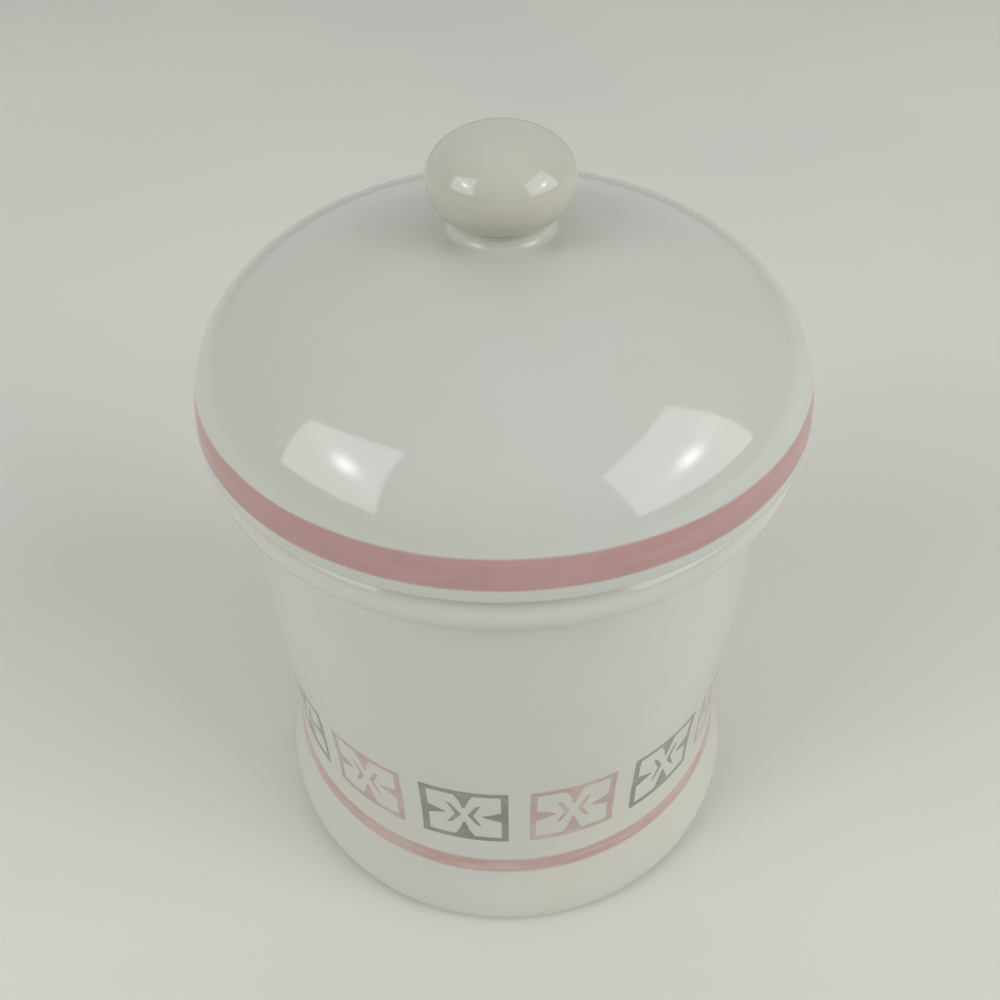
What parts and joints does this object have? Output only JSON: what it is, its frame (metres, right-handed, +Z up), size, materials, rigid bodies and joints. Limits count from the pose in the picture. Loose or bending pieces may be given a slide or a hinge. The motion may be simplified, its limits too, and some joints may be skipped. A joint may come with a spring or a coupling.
{
  "type": "apothecary jar",
  "caption": "Lidded glazed porcelain jar: flared foot, rolled rim, domed lid with a locating flange and a flattened ball knob.",
  "frame": {"origin": "centre of the foot ring, on the surface the jar stands on", "axes": "+Z up along the axis of the jar, lid and knob; -Y towards the viewer"},
  "size_m": [0.115, 0.115, 0.1608],
  "materials": {
    "jar_glaze": "clear gloss glaze over off-white porcelain, bare on the foot ring",
    "lid_glaze": "clear gloss glaze over off-white porcelain, bare on the seat",
    "knob_glaze": "clear gloss glaze, a little creamier than the lid"
  },
  "bodies": {
    "jar": {"jar_body": "jar_glaze"},
    "lid": {"lid_dome": "lid_glaze", "lid_knob": "knob_glaze"}
  },
  "joints": [
    {"name": "lid_lift", "type": "slide", "parent": "jar", "child": "lid", "axis": [0, 0, 1], "range_m": [0, 0.12]}
  ]
}
